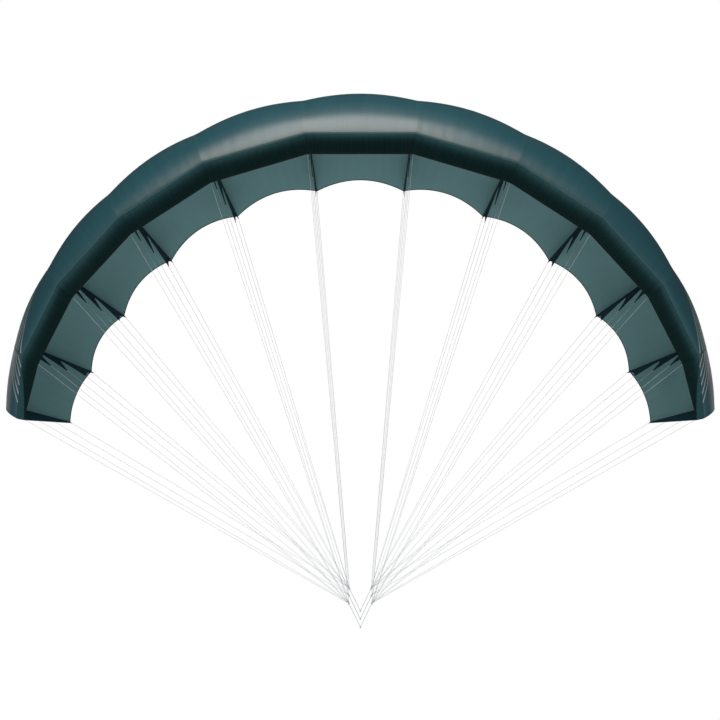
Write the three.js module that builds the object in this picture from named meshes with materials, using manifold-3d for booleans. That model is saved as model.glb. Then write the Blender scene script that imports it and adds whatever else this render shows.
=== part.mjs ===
// A single-skin parawing in flight: an arch of cloth cells sewn to ribs, and three rows of lines.
// Millimetres. +X runs along the span to the right, +Y from the nose to the trailing edge, +Z up.
// The origin is the low end of the front leader line, where the wing is held.

import * as THREE from 'three';
import { mergeVertices } from 'three/addons/utils/BufferGeometryUtils.js';
import Module from 'manifold-3d';

// Cloth and lines
const CLOTH = 2;
const RIB_CLOTH = 1.4;
const GAP = 0.3;
// Drop of a nose panel's upper end below the seam: both panels lean there, so it is more than the gap
const NOSE_DROP = 0.36;
const LINE_RADIUS = 0.65;
const LEADER_RADIUS = 1.2;
const LINE_SIDES = 8;
// The lines of a fan lie side by side in its knot, this far apart, and the knot reaches past the outer ones
const LINE_PITCH = 2.4;
const KNOT_MARGIN = 4;
const FAN_KNOT_RADIUS = 4;
const END_KNOT_RADIUS = 4;

// Leader lines: each is a V whose arms reach out and up from its low end to the two fan knots
const ARM_REACH = 52;
const ARM_RISE = 108;
const ROW_STEP = 152;

// The wing's nose lies this far ahead of the front leader's low end
const NOSE_AHEAD = 230;

// Ribs of one half, from the centre out. Each stands in a plane through that side's fan knots.
// fan: the plane's lean from upright, in degrees. reach: from the knots' axis to the lip.
// sweep: how far the nose is set back. chord: nose to trailing edge. crest: height over the lip.
// seam: height of the nose seam over the lip. trail: height of the trailing edge over the lip.
// hang: how much lower than usual the flares hang.
const RIB_COLUMNS = ['name', 'fan', 'reach', 'sweep', 'chord', 'crest', 'seam', 'trail', 'hang'];
const RIBS = [
  ['rib_1', 5.15, 2013, 0, 1110, 273, 64, 20, -24],
  ['rib_2', 17.95, 1975, 4, 1098, 259, 66, 8, -11],
  ['rib_3', 30.25, 1911, 14, 1033, 234, 65, -10, 0],
  ['rib_4', 41.6, 1838, 34, 930, 195, 62, -44, 13],
  ['rib_5', 52, 1750, 68, 816, 156, 58, -48, 5],
  ['tip_rib', 60.3, 1673, 128, 567, 114, 18, -66, 0],
].map((row) => Object.fromEntries(RIB_COLUMNS.map((column, i) => [column, row[i]])));

// Section of the skin: a quarter ellipse from the nose seam to the crest, then a hyperbola to the trailing
// edge, which turns down softly and runs out almost straight
const CREST_SHARE = 0.25;
const CREST_ROUND = 0.12;
const LIP_SHARE = 0.09;
const NOSE_STEPS = 6;
const TAIL_STEPS = 9;
const LAST_STEP = NOSE_STEPS + TAIL_STEPS;
const SPAN_STEPS = 8;
// Part of a step over which a section's direction is taken
const NEAR_STEP = 0.01;

// Billow of a cell between its ribs, as a share of its width
const BILLOW_AT_CREST = 0.067;
const BILLOW_AT_TRAIL = 0.092;
// Scallop cut out of a cell's trailing edge, and how sharply it fades towards the nose
const SCALLOP = 0.12;
const SCALLOP_POWER = 6;
// The tip ribs hold the cells at the tips flatter, by this share
const TIP_SLACK = 0.6;

// Flares of an inner rib: place along the chord as a share of it, drop of the tip below the lip, and
// what share of the way from the flares' tips to the skin the arched cut-out in front of each rises
const FLARES = [
  { name: 'a', place: 0.295, drop: 2, arch: 0.6 },
  { name: 'b', place: 0.495, drop: 38, arch: 0.7 },
  { name: 'c', place: 0.74, drop: 81, arch: 0.72 },
];
const TRAIL_ARCH = 0.25;
// An arch rises this share of the way to the two handles that draw its curve
const HANDLE_SHARE = 0.75;
const TIP_WIDTH = 10;
const TRAIL_TAB = 12;
const ARCH_STEPS = 8;

// The rib lies inside the skin, clear of it by this much
const RIB_CLEAR = 0.85;
// A line starts this far below the cloth that it is tied to
const LINE_CLEAR = 1;

// Rows of lines: which places on a rib each takes, from the front row to the rear
const ROWS = [
  { name: 'front', ties: ['lip', 'a'] },
  { name: 'middle', ties: ['b'] },
  { name: 'rear', ties: ['c', 'trail'] },
];
// Places of a tip rib's ties along its straight lower edge
const TIP_TIES = { lip: 0.02, a: 0.3, b: 0.62, trail: 0.985 };

const SIDES = { left: -1, right: 1 };
const UPPER_FINISH = { color: '#30505d', roughness: 0.5, metalness: 0 };
const NOSE_FINISH = { color: '#0d1c1c', roughness: 0.6, metalness: 0 };
const RIB_FINISH = { color: '#0b1f26', roughness: 0.65, metalness: 0 };
const LINE_FINISH = { color: '#e4e6e6', roughness: 0.7, metalness: 0 };

const wasm = await Module();
wasm.setup();

const group = new THREE.Group();

function addMesh(name, geometry, finish) {
  const mesh = new THREE.Mesh(geometry, new THREE.MeshStandardMaterial(finish));
  mesh.name = name;
  group.add(mesh);
  return mesh;
}

// A closed mesh with shared vertices as a solid
function toSolid(geometry) {
  const bare = geometry.index ? geometry.toNonIndexed() : geometry.clone();
  bare.deleteAttribute('normal');
  bare.deleteAttribute('uv');
  const merged = mergeVertices(bare, 1e-4);
  return new wasm.Manifold(new wasm.Mesh({
    numProp: 3,
    vertProperties: new Float32Array(merged.attributes.position.array),
    triVerts: new Uint32Array(merged.index.array),
  }));
}

function toGeometry(solid) {
  const mesh = solid.getMesh();
  const geometry = new THREE.BufferGeometry();
  geometry.setAttribute('position', new THREE.BufferAttribute(mesh.vertProperties, 3));
  geometry.setIndex(new THREE.BufferAttribute(mesh.triVerts, 1));
  geometry.computeVertexNormals();
  return geometry;
}

// The section's points from the nose seam to the trailing edge: x along the chord, y over the lip.
// share says how far along each stretch the point is, so neighbouring ribs match point for point.
function sectionPoint(rib, stretch, share) {
  const crestAt = CREST_SHARE * rib.chord;
  if (stretch === 'nose') {
    const turn = share * Math.PI / 2;
    const rise = rib.crest - rib.seam;
    return new THREE.Vector2(crestAt * (1 - Math.cos(turn)), rib.seam + rise * Math.sin(turn));
  }
  const turned = (run) => Math.hypot(run, CREST_ROUND) - CREST_ROUND;
  const fall = 1 - turned(share) / turned(1);
  const along = crestAt + (rib.chord - crestAt) * share;
  return new THREE.Vector2(along, rib.trail + (rib.crest - rib.trail) * fall);
}

// Height of the section over the lip at a distance along the chord
function skinHeight(rib, along) {
  const crestAt = CREST_SHARE * rib.chord;
  if (along < crestAt) return sectionPoint(rib, 'nose', Math.acos(1 - along / crestAt) / (Math.PI / 2)).y;
  return sectionPoint(rib, 'tail', (along - crestAt) / (rib.chord - crestAt)).y;
}

// step runs from 0 at the nose seam to NOSE_STEPS at the crest and on to LAST_STEP at the trailing edge
function outerPoint(rib, step) {
  if (step <= NOSE_STEPS) return sectionPoint(rib, 'nose', step / NOSE_STEPS);
  return sectionPoint(rib, 'tail', (step - NOSE_STEPS) / TAIL_STEPS);
}

// The same point moved into the wing, square to the section
function innerPoint(rib, step, depth) {
  const before = outerPoint(rib, Math.max(step - NEAR_STEP, 0));
  const after = outerPoint(rib, Math.min(step + NEAR_STEP, LAST_STEP));
  const along = after.sub(before).normalize();
  return outerPoint(rib, step).add(new THREE.Vector2(along.y, -along.x).multiplyScalar(depth));
}

// A point of a rib's plane in the wing, moved along the span by shift
function inWing(rib, side, point, shift = 0) {
  const lean = THREE.MathUtils.degToRad(rib.fan);
  const outward = rib.reach + point.y;
  return new THREE.Vector3(
    side * (ARM_REACH + outward * Math.sin(lean)) + shift * Math.cos(lean),
    point.x + rib.sweep - NOSE_AHEAD,
    ARM_RISE + outward * Math.cos(lean) - side * shift * Math.sin(lean),
  );
}

// All ribs from the left tip to the right tip
const leftHalf = RIBS.map((rib) => ({ rib, side: SIDES.left, name: `${rib.name}_left` })).reverse();
const rightHalf = RIBS.map((rib) => ({ rib, side: SIDES.right, name: `${rib.name}_right` }));
const stations = [...leftHalf, ...rightHalf];

// A sheet between an outer and an inner grid of points, closed along its four edges
function sheetGeometry(outer, inner) {
  const rows = outer.length;
  const columns = outer[0].length;
  const positions = [...outer.flat(), ...inner.flat()].flatMap((p) => [p.x, p.y, p.z]);
  const index = [];
  const at = (layer, row, column) => layer * rows * columns + row * columns + column;
  const quad = (a, b, c, d) => index.push(a, b, c, a, c, d);
  for (let r = 0; r < rows - 1; r += 1) {
    for (let c = 0; c < columns - 1; c += 1) {
      quad(at(0, r, c), at(0, r, c + 1), at(0, r + 1, c + 1), at(0, r + 1, c));
      quad(at(1, r, c), at(1, r + 1, c), at(1, r + 1, c + 1), at(1, r, c + 1));
    }
  }
  for (let c = 0; c < columns - 1; c += 1) {
    quad(at(0, 0, c + 1), at(0, 0, c), at(1, 0, c), at(1, 0, c + 1));
    quad(at(0, rows - 1, c), at(0, rows - 1, c + 1), at(1, rows - 1, c + 1), at(1, rows - 1, c));
  }
  for (let r = 0; r < rows - 1; r += 1) {
    quad(at(0, r, 0), at(0, r + 1, 0), at(1, r + 1, 0), at(1, r, 0));
    quad(at(0, r + 1, columns - 1), at(0, r, columns - 1), at(1, r, columns - 1), at(1, r + 1, columns - 1));
  }
  const geometry = new THREE.BufferGeometry();
  geometry.setAttribute('position', new THREE.Float32BufferAttribute(positions, 3));
  geometry.setIndex(index);
  geometry.computeVertexNormals();
  return geometry;
}

// A point of a cell's skin: step along the section, across from 0 at the left rib to 1 at the right one
function skinPoint(left, right, step, across, depth) {
  const bow = 4 * across * (1 - across);
  const edge = GAP / 2;
  const between = (at, inset) => {
    const a = inWing(left.rib, left.side, innerPoint(left.rib, at, inset), edge);
    const b = inWing(right.rib, right.side, innerPoint(right.rib, at, inset), -edge);
    return { a, b, point: a.clone().lerp(b, across) };
  };
  const span = between(step, 0);
  const width = span.a.distanceTo(span.b);
  const chord = (left.rib.chord + right.rib.chord) / 2;
  const slack = [left, right].some(({ rib }) => rib.name === 'tip_rib') ? TIP_SLACK : 1;
  const cut = slack * SCALLOP * (width / chord) * bow * (step / LAST_STEP) ** SCALLOP_POWER;
  const at = step - cut * TAIL_STEPS;
  const ahead = between(Math.max(at - NEAR_STEP, 0), 0);
  const behind = between(Math.min(at + NEAR_STEP, LAST_STEP), 0);
  const chordwise = behind.point.sub(ahead.point);
  const spanwise = ahead.b.sub(ahead.a);
  const outward = spanwise.cross(chordwise).normalize();
  const toCrest = Math.sin(Math.min(at / NOSE_STEPS, 1) * Math.PI / 2) ** 2;
  const toTrail = Math.max(0, (at - NOSE_STEPS) / TAIL_STEPS);
  const billow = BILLOW_AT_CREST * toCrest + (BILLOW_AT_TRAIL - BILLOW_AT_CREST) * toTrail;
  return between(at, depth).point.addScaledVector(outward, slack * billow * width * bow);
}

function skinPanel(left, right) {
  const grid = (depth) => {
    const rows = [];
    for (let step = 0; step <= LAST_STEP; step += 1) {
      const row = [];
      for (let i = 0; i <= SPAN_STEPS; i += 1) {
        row.push(skinPoint(left, right, step, i / SPAN_STEPS, depth));
      }
      rows.push(row);
    }
    return rows;
  };
  return sheetGeometry(grid(0), grid(CLOTH));
}

// The nose panel's section from the lip to just under the nose seam, moved into the wing by depth.
// Its upper end is cut level, under the edge of the skin.
function noseSection(rib, depth) {
  const lip = new THREE.Vector2(LIP_SHARE * rib.chord, 0);
  const top = new THREE.Vector2(0, rib.seam - NOSE_DROP);
  const along = lip.clone().sub(top).normalize();
  const inward = new THREE.Vector2(-along.y, along.x);
  const level = inward.y / -along.y;
  return [
    lip.addScaledVector(inward, depth),
    top.addScaledVector(inward, depth).addScaledVector(along, level * depth),
  ];
}

function nosePanel(left, right) {
  const edge = GAP / 2;
  const grid = (depth) => noseSection(left.rib, depth).map((point, i) => {
    const a = inWing(left.rib, left.side, point, edge);
    const b = inWing(right.rib, right.side, noseSection(right.rib, depth)[i], -edge);
    return [a, b];
  });
  return sheetGeometry(grid(0), grid(CLOTH));
}

// Where lines are tied to a rib, in its plane
function ties(rib) {
  const lip = new THREE.Vector2(LIP_SHARE * rib.chord + TIP_WIDTH / 2 + CLOTH, 0);
  const depth = CLOTH + RIB_CLEAR + TRAIL_TAB;
  const trail = innerPoint(rib, LAST_STEP, depth);
  if (rib.name === 'tip_rib') {
    const places = Object.entries(TIP_TIES);
    return Object.fromEntries(places.map(([name, share]) => [name, lip.clone().lerp(trail, share)]));
  }
  const points = { lip, trail };
  for (const flare of FLARES) {
    points[flare.name] = new THREE.Vector2(flare.place * rib.chord, -flare.drop - rib.hang);
  }
  return points;
}

// An arched cut-out of a rib's lower edge, from one tie to the next
function archTo(shape, rib, from, to, share) {
  const middle = (from.x + to.x) / 2;
  const base = (from.y + to.y) / 2;
  const handle = base + share / HANDLE_SHARE * (skinHeight(rib, middle) - base);
  shape.bezierCurveTo(middle, handle, middle, handle, to.x - TIP_WIDTH / 2, to.y);
}

// A rib's outline: along its lower edge from the lip to the trailing edge, then back under the skin
function ribShape(rib) {
  const shape = new THREE.Shape();
  const half = TIP_WIDTH / 2;
  const tied = ties(rib);
  const inset = CLOTH + RIB_CLEAR;
  const [front, top] = noseSection(rib, inset);
  shape.moveTo(front.x, front.y);
  if (rib.name === 'tip_rib') {
    shape.lineTo(tied.lip.x, tied.lip.y);
  } else {
    shape.lineTo(tied.lip.x - half, tied.lip.y);
    shape.lineTo(tied.lip.x + half, tied.lip.y);
    let from = tied.lip;
    for (const flare of FLARES) {
      const tip = tied[flare.name];
      archTo(shape, rib, from, tip, flare.arch);
      shape.lineTo(tip.x + half, tip.y);
      from = tip;
    }
    archTo(shape, rib, from, tied.trail, TRAIL_ARCH);
  }
  shape.lineTo(tied.trail.x, tied.trail.y);
  for (let step = LAST_STEP; step > 0; step -= 1) {
    const point = innerPoint(rib, step, inset);
    shape.lineTo(point.x, point.y);
  }
  shape.lineTo(inset, rib.seam + RIB_CLEAR);
  shape.lineTo(top.x, top.y);
  return shape;
}

function addRib(station) {
  const { rib, side, name } = station;
  const geometry = new THREE.ExtrudeGeometry(ribShape(rib), {
    depth: RIB_CLOTH,
    bevelEnabled: false,
    curveSegments: ARCH_STEPS,
  });
  geometry.translate(0, 0, -RIB_CLOTH / 2);
  const lean = THREE.MathUtils.degToRad(rib.fan);
  const chordwise = new THREE.Vector3(0, 1, 0);
  const outward = new THREE.Vector3(side * Math.sin(lean), 0, Math.cos(lean));
  const square = chordwise.clone().cross(outward);
  const mesh = addMesh(name, geometry, RIB_FINISH);
  mesh.quaternion.setFromRotationMatrix(new THREE.Matrix4().makeBasis(chordwise, outward, square));
  mesh.position.copy(inWing(rib, side, new THREE.Vector2(0, 0)));
}

// A straight line of round section between two points
function lineGeometry(from, to, radius) {
  const section = new THREE.Shape();
  section.absarc(0, 0, radius, 0, Math.PI * 2);
  return new THREE.ExtrudeGeometry(section, {
    steps: 1,
    curveSegments: LINE_SIDES / 2,
    extrudePath: new THREE.LineCurve3(from, to),
    bevelEnabled: false,
  });
}

// A knot, round or drawn out along the chord
function knotGeometry(centre, radius, halfLength = radius) {
  const round = new THREE.IcosahedronGeometry(1, 2);
  return round.scale(radius, halfLength, radius).translate(centre.x, centre.y, centre.z);
}

function fuse(geometries) {
  const solids = geometries.map(toSolid);
  return toGeometry(solids.slice(1).reduce((joined, solid) => joined.add(solid), solids[0]));
}

function fanKnot(row, side) {
  return new THREE.Vector3(side * ARM_REACH, row * ROW_STEP, ARM_RISE);
}

// One row's lines on one side, from the ribs to the knot where they join
function lineFan(row, side) {
  const places = ROWS[row].ties.flatMap((tie) => RIBS.filter((rib) => tie in ties(rib)).map((rib) => (
    inWing(rib, side, ties(rib)[tie])
  )));
  const halfRow = LINE_PITCH * (places.length - 1) / 2;
  const knot = fanKnot(row, side);
  const pieces = [knotGeometry(knot, FAN_KNOT_RADIUS, halfRow + KNOT_MARGIN)];
  places.forEach((place, i) => {
    const end = knot.clone().add(new THREE.Vector3(0, i * LINE_PITCH - halfRow, 0));
    const start = place.clone().add(end.clone().sub(place).setLength(LINE_CLEAR));
    pieces.push(lineGeometry(start, end, LINE_RADIUS));
  });
  return fuse(pieces);
}

// A V from one fan knot down to the end knot and up to the other fan knot
function leader(row) {
  const low = new THREE.Vector3(0, row * ROW_STEP, 0);
  const pieces = [knotGeometry(low, END_KNOT_RADIUS)];
  for (const side of Object.values(SIDES)) {
    const knot = fanKnot(row, side);
    const top = knot.clone().add(low.clone().sub(knot).setLength(FAN_KNOT_RADIUS + GAP));
    pieces.push(lineGeometry(low, top, LEADER_RADIUS));
  }
  return fuse(pieces);
}

for (let cell = 0; cell < stations.length - 1; cell += 1) {
  const [left, right] = [stations[cell], stations[cell + 1]];
  addMesh(`skin_panel_${cell + 1}`, skinPanel(left, right), UPPER_FINISH);
  addMesh(`nose_panel_${cell + 1}`, nosePanel(left, right), NOSE_FINISH);
}
stations.forEach(addRib);
ROWS.forEach((row, i) => {
  for (const [name, side] of Object.entries(SIDES)) {
    addMesh(`${row.name}_lines_${name}`, lineFan(i, side), LINE_FINISH);
  }
  addMesh(`${row.name}_leader`, leader(i), LINE_FINISH);
});

export default group;
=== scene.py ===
# %% [markdown]
# # A single-skin parawing
# A parawing is a kite with no frame at all. One layer of thin cloth is sewn into an arch of cells, ribs
# hold each cell's curve, and three rows of fine lines gather the pull into three leader lines.
# The frame brings in the solids of the same wing, in metres. They give the place of every piece, and the
# cloth and lines made here stand in for them, with finer curves, hems, seams and a weave.

# %% The frame and the units
import math
from collections import namedtuple

import bpy
import numpy as np
from mathutils import Matrix, Vector


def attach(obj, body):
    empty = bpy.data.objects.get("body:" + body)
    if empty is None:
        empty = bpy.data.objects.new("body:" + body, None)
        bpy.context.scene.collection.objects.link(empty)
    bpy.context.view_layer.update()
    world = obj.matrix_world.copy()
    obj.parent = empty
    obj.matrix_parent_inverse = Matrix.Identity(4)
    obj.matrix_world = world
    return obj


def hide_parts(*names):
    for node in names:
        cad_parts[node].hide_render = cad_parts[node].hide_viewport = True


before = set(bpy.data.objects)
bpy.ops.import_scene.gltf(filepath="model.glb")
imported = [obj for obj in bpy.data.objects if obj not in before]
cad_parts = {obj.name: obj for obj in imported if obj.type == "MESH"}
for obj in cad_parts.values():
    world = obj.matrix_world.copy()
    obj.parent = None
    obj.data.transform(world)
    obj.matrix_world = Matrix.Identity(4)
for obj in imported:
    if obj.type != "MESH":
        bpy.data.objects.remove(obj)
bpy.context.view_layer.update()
MM = 0.001
print("nodes in the frame:", len(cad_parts))

# %% [markdown]
# The camera comes first, because every later choice is judged through it. It stands in front of the nose,
# a little above the middle of the lines, and looks almost level. A 50 mm lens on a 36 mm sensor gives the
# flat perspective of a catalogue picture.

# %% Camera
CAMERA_PLACE = (-1.4, -4530, 1152.4)
CAMERA_PITCH = 0.6875
LENS = 50
SENSOR = 36


def new_object(name, data):
    """A new object in the scene that holds some data."""
    obj = bpy.data.objects.new(name, data)
    bpy.context.scene.collection.objects.link(obj)
    return obj


camera_data = bpy.data.cameras.new("camera")
camera_data.lens = LENS
camera_data.sensor_width = SENSOR
camera = new_object("camera", camera_data)
camera.location = Vector(CAMERA_PLACE) * MM
camera.rotation_euler = (math.radians(90 + CAMERA_PITCH), 0, 0)
bpy.context.scene.camera = camera
print("camera stands at", tuple(round(c, 3) for c in camera.location))

# %% [markdown]
# The ribs are the wing's plan. A maker draws one half and mirrors it, so the table holds six ribs from
# the centre out. Each stands in a plane through its side's line knots, leaning out by its fan angle.
# Sizes are in millimetres, over the lip, which is the cloth edge under the nose. The fold is how far the
# cloth rounds the nose seam: crisp in the middle of the wing, softer towards the tips. The hang is how much
# higher than usual the rib's flares end, so a rib with a negative one has flares that hang lower.

# %% The ribs' plan
Rib = namedtuple("Rib", "name fan reach sweep chord crest seam trail hang fold")
HALF_WING = (
    Rib("rib_1", 5.15, 2013, 0, 1110, 273, 64, 20, -24, 8),
    Rib("rib_2", 17.95, 1975, 4, 1098, 259, 66, 8, -11, 10),
    Rib("rib_3", 30.25, 1911, 14, 1033, 234, 65, -10, 0, 15),
    Rib("rib_4", 41.6, 1838, 34, 930, 195, 62, -44, 13, 22),
    Rib("rib_5", 52, 1750, 68, 816, 156, 58, -48, 5, 28),
    Rib("tip_rib", 60.3, 1673, 128, 567, 114, 18, -66, 0, 18),
)
ARM_REACH = 52
ARM_RISE = 108
NOSE_AHEAD = 230

Station = namedtuple("Station", "rib side name")
SIDES = {"left": -1, "right": 1}
left_half = [Station(rib, SIDES["left"], f"{rib.name}_left") for rib in reversed(HALF_WING)]
right_half = [Station(rib, SIDES["right"], f"{rib.name}_right") for rib in HALF_WING]
STATIONS = left_half + right_half


def in_wing(station, along, up, shift=0.0):
    """Places in the wing, in mm, of points along a rib's chord and up from its lip."""
    lean = math.radians(station.rib.fan)
    outward = station.rib.reach + np.asarray(up, dtype=float)
    x = station.side * (ARM_REACH + outward * math.sin(lean)) + shift * math.cos(lean)
    y = np.asarray(along, dtype=float) + station.rib.sweep - NOSE_AHEAD
    z = ARM_RISE + outward * math.cos(lean) - station.side * shift * math.sin(lean)
    return np.stack((x, y, z), axis=-1)


print("ribs from tip to tip:", len(STATIONS))

# %% [markdown]
# A rib's upper edge is the wing's section: a quarter ellipse from the nose seam to the crest, and then a
# hyperbola, which turns down softly and runs out almost straight to the trailing edge, as taut cloth does.
# A step counts along it, so that points on neighbouring ribs match.
# The fold replaces the sharp corner at the nose seam with half of a small curve. The other half belongs to
# the dark panel under the nose, which is made later.

# %% The wing's section
CREST_SHARE = 0.25
CREST_ROUND = 0.12
LIP_SHARE = 0.09
NOSE_STEPS = 6
TAIL_STEPS = 9
LAST_STEP = NOSE_STEPS + TAIL_STEPS
NEAR_STEP = 0.01
SEAM_ON_FOLD = 0.5


def sharp_section(rib, step):
    """Along and up, in mm, from the nose seam (step 0) over the crest (6) to the trailing edge (15)."""
    crest_at = CREST_SHARE * rib.chord
    turn = np.minimum(step / NOSE_STEPS, 1) * math.pi / 2
    share = np.maximum(step - NOSE_STEPS, 0) / TAIL_STEPS
    fall = 1 - (np.hypot(share, CREST_ROUND) - CREST_ROUND) / (math.hypot(1, CREST_ROUND) - CREST_ROUND)
    on_nose = step < NOSE_STEPS
    nose_up = rib.seam + (rib.crest - rib.seam) * np.sin(turn)
    tail_up = rib.trail + (rib.crest - rib.trail) * fall
    nose_along = crest_at * (1 - np.cos(turn))
    tail_along = crest_at + (rib.chord - crest_at) * share
    return np.where(on_nose, nose_along, tail_along), np.where(on_nose, nose_up, tail_up)


def fold_end(rib):
    """The step at which the fold has run out into the skin."""
    return NOSE_STEPS * math.asin(rib.fold / (rib.crest - rib.seam)) * 2 / math.pi


def fold_curve(rib, share):
    """The curve round the nose seam: share 0 on the nose panel, 1 where it has run out into the skin."""
    to_lip = Vector((LIP_SHARE * rib.chord, -rib.seam)).normalized() * rib.fold
    ends = (to_lip.x, rib.seam + to_lip.y), (0, rib.seam), sharp_section(rib, fold_end(rib))
    weights = (1 - share) ** 2, 2 * share * (1 - share), share**2
    return tuple(sum(w * end[axis] for w, end in zip(weights, ends)) for axis in (0, 1))


def skin_section(rib, step):
    """The section with its rounded nose seam."""
    step = np.clip(np.asarray(step, dtype=float), 0, LAST_STEP)
    folded = fold_curve(rib, SEAM_ON_FOLD + (1 - SEAM_ON_FOLD) * np.minimum(step / fold_end(rib), 1))
    sharp = sharp_section(rib, step)
    return tuple(np.where(step < fold_end(rib), f, s) for f, s in zip(folded, sharp))


def inset_section(rib, step, depth):
    """The section moved into the wing by depth, square to itself."""
    step = np.asarray(step, dtype=float)
    ahead = skin_section(rib, step - NEAR_STEP)
    behind = skin_section(rib, step + NEAR_STEP)
    run, rise = behind[0] - ahead[0], behind[1] - ahead[1]
    along, up = skin_section(rib, step)
    slope = np.hypot(run, rise)
    return along + depth * rise / slope, up - depth * run / slope


print("length of the longest chord, mm:", max(rib.chord for rib in HALF_WING))

# %% [markdown]
# Lines are tied to each rib at the lip, at the tips of its three flares and at the trailing edge. A tip rib
# has no flares, so its ties lie along its straight lower edge. The places are shares of the chord, as a
# maker would mark them, and each flare's tip drops some millimetres below the lip.

# %% Where the lines are tied
Flare = namedtuple("Flare", "name place drop arch")
FLARES = (Flare("a", 0.295, 2, 0.6), Flare("b", 0.495, 38, 0.7), Flare("c", 0.74, 81, 0.72))
TIP_TIES = {"lip": 0.02, "a": 0.3, "b": 0.62, "trail": 0.985}
CLOTH = 2
RIB_CLEAR = 0.85
TRAIL_TAB = 12
FLARE_TIP = 10


def ties(rib):
    """The places on a rib where lines are tied, along and up in mm."""
    lip = np.array((LIP_SHARE * rib.chord + FLARE_TIP / 2 + CLOTH, 0.0))
    trail = np.array(inset_section(rib, LAST_STEP, CLOTH + RIB_CLEAR + TRAIL_TAB))
    if rib.name == "tip_rib":
        return {name: lip + (trail - lip) * share for name, share in TIP_TIES.items()}
    flares = {f.name: np.array((f.place * rib.chord, -f.drop - rib.hang)) for f in FLARES}
    return {"lip": lip, **flares, "trail": trail}


print("ties on each half of the wing:", sum(len(ties(rib)) for rib in HALF_WING))

# %% [markdown]
# Materials are node trees. Every colour is written as the sRGB hex value that a screen shows, and one
# function turns it to the linear values that Blender works with. One more function adds a node with its
# settings and links and hands back one of its outputs, so that a finish reads as a short list. Some sockets
# share a name and go by number: a Mix node takes its share at 0, numbers at 2 and 3 and colours at 6 and 7,
# and a Map Range node takes its value at 0, the range it comes from at 1 and 2, and the new one at 3 and 4.

# %% Helpers for materials
COLOURS = {"give": 2, "data_type": "RGBA"}


def linear(colour):
    """Linear RGBA of an sRGB hex colour."""
    shown = [int(colour[i : i + 2], 16) / 255 for i in (1, 3, 5)]
    return tuple(c / 12.92 if c <= 0.04045 else ((c + 0.055) / 1.055) ** 2.4 for c in shown) + (1.0,)


def add_node(tree, kind, inputs, give=0, **settings):
    """One output of a new shader node. An input is given a value, or linked where it is a socket."""
    node = tree.nodes.new("ShaderNode" + kind)
    for name, value in settings.items():
        setattr(node, name, value)
    for key, value in inputs.items():
        if isinstance(value, bpy.types.NodeSocket):
            tree.links.new(value, node.inputs[key])
        else:
            node.inputs[key].default_value = value
    return node.outputs[give] if node.outputs else None


def new_material(name):
    """An empty node material, and its tree."""
    material = bpy.data.materials.new(name)
    material.use_nodes = True
    material.node_tree.nodes.clear()
    return material, material.node_tree


def end_finish(tree, colour, roughness, gloss, height, depth, strength):
    """The end of a finish: a surface of some colour, raised by its pattern, with depth in mm."""
    raised = add_node(tree, "Bump", {"Height": height, "Distance": depth * MM, "Strength": strength})
    look = {"Base Color": colour, "Roughness": roughness, "Specular IOR Level": gloss, "Normal": raised}
    add_node(tree, "OutputMaterial", {"Surface": add_node(tree, "BsdfPrincipled", look)})


print("linear value of mid grey:", round(linear("#808080")[0], 3))

# %% [markdown]
# The lines are bare braided polyethylene: no cover, a waxy pale grey, with painted shade a little darker in
# the grooves between its strands. The braid of a line this thin is finer than a pixel, so its pitch is drawn
# at 6 mm, and a slow noise along the line takes the evenness away.

# %% Braided line
BRAID_PITCH = 6
WEAR_LENGTH = 83
GROOVE_DEPTH = 0.1
# Blender's wave texture turns by this many radians in each unit of length, at a scale of 1
WAVE_TURN = 20

braided_line, tree = new_material("braided_polyethylene_line")
place = add_node(tree, "TexCoord", {}, give="Object")
turns = add_node(
    tree,
    "TexWave",
    {"Vector": place, "Scale": 2 * math.pi / (WAVE_TURN * BRAID_PITCH * MM), "Distortion": 1.5, "Detail": 1},
    give="Fac",
    bands_direction="Z",
)
slow = {"Vector": place, "Scale": 1 / (WEAR_LENGTH * MM), "Detail": 2}
wear = add_node(tree, "TexNoise", slow, give="Fac")
# Painted shade: the colour follows the braid, darker in the grooves between strands
strand = add_node(tree, "Mix", {0: turns, 6: linear("#c2ced2"), 7: linear("#d3dee2")}, **COLOURS)
worn = add_node(tree, "Mix", {0: wear, 6: strand, 7: linear("#cad7da")}, **COLOURS)
end_finish(tree, worn, roughness=0.6, gloss=0.3, height=turns, depth=GROOVE_DEPTH, strength=0.3)
print("material:", braided_line.name)

# %% [markdown]
# A fan is one row of lines on one side: it starts at the ribs and ends side by side at a knot. In flight the
# pull keeps each line straight, so a line is a curve from its tie to its place in the knot, with a round
# bevel for its thickness. A curve's length is easy to measure. Only so many cords can be declared, so the
# longest lines of each side are.

# %% Rows of lines
ROWS = {"front": ("lip", "a"), "middle": ("b",), "rear": ("c", "trail")}
ROW_STEP = 152
LINE_PITCH = 2.4
LINE_CLEAR = 1


def fan_knot(row, side):
    """The middle of the knot of one row on one side, in mm."""
    return np.array((side * ARM_REACH, list(ROWS).index(row) * ROW_STEP, ARM_RISE), dtype=float)


def fan_lines(row, side):
    """Station, tie, start and end, in mm, of each line of one row on one side."""
    half = sorted((s for s in STATIONS if s.side == side), key=lambda station: station.rib.fan)
    places = [(station, tie) for tie in ROWS[row] for station in half if tie in ties(station.rib)]
    half_row = LINE_PITCH * (len(places) - 1) / 2
    lines = []
    for number, (station, tie) in enumerate(places):
        end = fan_knot(row, side) + (0, number * LINE_PITCH - half_row, 0)
        tied = in_wing(station, *ties(station.rib)[tie])
        reach = np.linalg.norm(end - tied)
        lines.append((station, tie, tied + (end - tied) * LINE_CLEAR / reach, end))
    return lines


print("lines on each side:", {row: len(fan_lines(row, SIDES["left"])) for row in ROWS})

# %% Line fans
LINE_RADIUS = 0.65
LINE_POINTS = 16


def belongs(piece, stands_for=None):
    """Let a piece ride on the wing, and hide the solid that it stands for."""
    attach(piece, "root")
    if stands_for:
        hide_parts(stands_for)


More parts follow.
